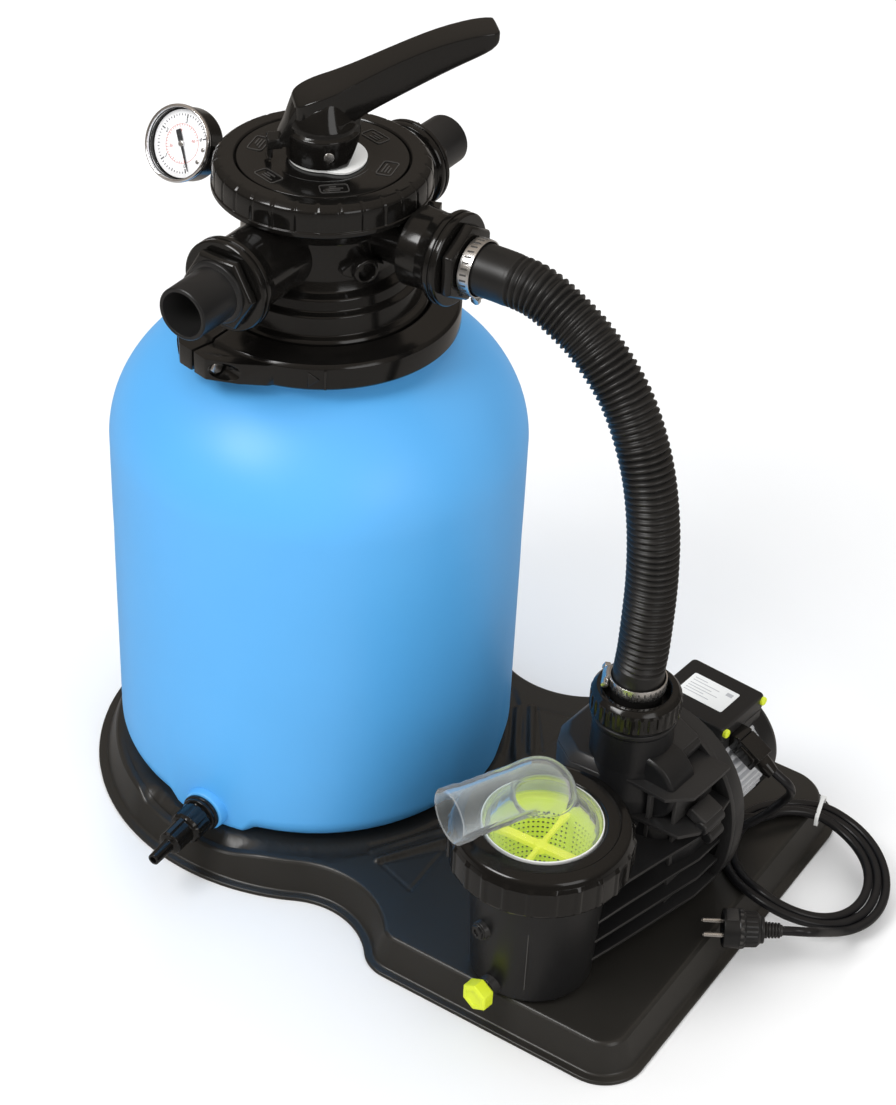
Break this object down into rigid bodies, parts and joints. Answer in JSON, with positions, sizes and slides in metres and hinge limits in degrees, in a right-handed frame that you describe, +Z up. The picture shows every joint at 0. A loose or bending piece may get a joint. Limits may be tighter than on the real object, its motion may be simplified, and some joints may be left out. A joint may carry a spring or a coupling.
{
  "type": "sand filter tank",
  "caption": "Pool sand filter set: blue tank on a dark tray, lever-handled multiport valve with gauge, corrugated hose, strainer pump with finned motor, coiled cable and plug.",
  "frame": {"origin": "on the tank axis at floor level", "axes": "+X from the tank towards the pump, +Y towards the motor end of the pump (the back), +Z up"},
  "size_m": [0.8333, 0.5268, 0.8042],
  "materials": {
    "tank_blue": "satin light blue, fine orange peel",
    "tray_brown": "satin dark brown-black with embossed ridges",
    "gloss_black": "glossy black",
    "satin_black": "satin charcoal",
    "hose_black": "corrugated flexible plastic",
    "cable_black": "smooth cable jacket",
    "lime": "satin yellow-green",
    "clear_plastic": "clear moulded plastic",
    "steel": "brushed stainless steel",
    "aluminium": "satin extruded aluminium",
    "copper": "lacquered winding",
    "white_nylon": "natural white",
    "dial_white": null,
    "seal_rubber": "soft black seal",
    "filter_sand": "washed quartz sand"
  },
  "bodies": {
    "filter_set": {"base_tray": "tray_brown", "tank_shell": "tank_blue", "sand_bed": "filter_sand", "underdrain": "white_nylon", "standpipe": "white_nylon", "top_diffuser": "white_nylon", "tank_drain_socket": "gloss_black", "flange_seal": "seal_rubber", "clamp_ring_left": "gloss_black", "clamp_ring_right": "gloss_black", "clamp_bolt_front": "steel", "clamp_bolt_back": "steel", "valve_body": "gloss_black", "spider_gasket": "seal_rubber", "valve_spring": "steel", "lid_seal": "seal_rubber", "valve_lid": "gloss_black", "gauge_case": "gloss_black", "gauge_dial": "dial_white", "gauge_lens": "clear_plastic", "return_adaptor": "satin_black", "waste_adaptor": "satin_black", "pump_port_tail": "satin_black", "pump_body": "satin_black", "pot_plug": "satin_black", "strainer_seal": "seal_rubber", "union_tail": "gloss_black", "motor_bracket": "satin_black", "shaft_seal": "seal_rubber", "bearing_front": "steel", "bearing_rear": "steel", "stator": "copper", "motor_housing": "aluminium", "fan_cowl": "satin_black", "terminal_box": "satin_black", "terminal_lid": "satin_black", "terminal_screw_front": "lime", "terminal_screw_rear": "lime", "cord_connector": "gloss_black", "hose": "hose_black", "hose_clamp_top": "steel", "hose_clamp_bottom": "steel", "mains_cable": "cable_black", "cable_tie": "white_nylon", "mains_plug": "satin_black"},
    "selector": {"handle_washer": "white_nylon"},
    "stem": {"valve_rotor": "gloss_black", "handle_pin": "steel"},
    "lever": {"handle_lever": "gloss_black"},
    "needle": {"gauge_needle": "satin_black"},
    "pump_rotor": {"motor_shaft": "steel", "impeller": "satin_black", "cooling_fan": "satin_black"},
    "strainer_cover": {"strainer_lid": "clear_plastic"},
    "strainer_nut": {"strainer_ring": "satin_black"},
    "basket": {"strainer_basket": "lime"},
    "hose_union": {"union_nut": "gloss_black"},
    "pump_drain": {"pump_drain_screw": "lime"},
    "tank_drain": {"tank_drain_cap": "gloss_black"},
    "cover_nut": {"lid_nut": "gloss_black"}
  },
  "joints": [
    {"name": "selector_turn", "type": "hinge", "parent": "filter_set", "child": "selector", "pos_m": [0, 0, 0.7], "axis": [0, 0, 1], "continuous": true},
    {"name": "valve_lift", "type": "slide", "parent": "selector", "child": "stem", "axis": [0, 0, 1], "range_m": [0, 0.0104], "deforming": ["valve_spring"]},
    {"name": "lever_press", "type": "hinge", "parent": "stem", "child": "lever", "pos_m": [0, 0, 0.7], "axis": [-0.7071, 0.7071, 0], "range_deg": [0, 18]},
    {"name": "needle_sweep", "type": "hinge", "parent": "filter_set", "child": "needle", "pos_m": [-0.155, 0, 0.647], "axis": [0, 0.9063, -0.4226], "range_deg": [0, 270]},
    {"name": "pump_spin", "type": "hinge", "parent": "filter_set", "child": "pump_rotor", "pos_m": [0.369, -0.168, 0.118], "axis": [0.0906, 0.9959, 0], "continuous": true},
    {"name": "strainer_lift", "type": "slide", "parent": "filter_set", "child": "strainer_cover", "axis": [0, 0, 1], "range_m": [0, 0.22]},
    {"name": "strainer_nut_turn", "type": "hinge", "parent": "strainer_cover", "child": "strainer_nut", "pos_m": [0.369, -0.168, 0], "axis": [0, 0, 1], "continuous": true},
    {"name": "basket_lift", "type": "slide", "parent": "filter_set", "child": "basket", "axis": [0, 0, 1], "range_m": [0, 0.154]},
    {"name": "union_turn", "type": "hinge", "parent": "filter_set", "child": "hose_union", "pos_m": [0.37876, -0.02771, 0], "axis": [0, 0, 1], "continuous": true},
    {"name": "pump_drain_turn", "type": "hinge", "parent": "filter_set", "child": "pump_drain", "pos_m": [0.369, -0.168, 0.048], "axis": [-0.1426, -0.9898, 0], "continuous": true},
    {"name": "tank_drain_turn", "type": "hinge", "parent": "filter_set", "child": "tank_drain", "pos_m": [0, 0, 0.057], "axis": [0.0523, -0.9986, 0], "continuous": true},
    {"name": "cover_nut_turn", "type": "hinge", "parent": "filter_set", "child": "cover_nut", "pos_m": [0, 0, 0.68], "axis": [0, 0, 1], "continuous": true}
  ],
  "couplings": [
    {"joint": "valve_lift", "follows": "lever_press", "m_per_rad": 0.033},
    {"joint": "basket_lift", "follows": "strainer_lift", "ratio": 0.7}
  ]
}
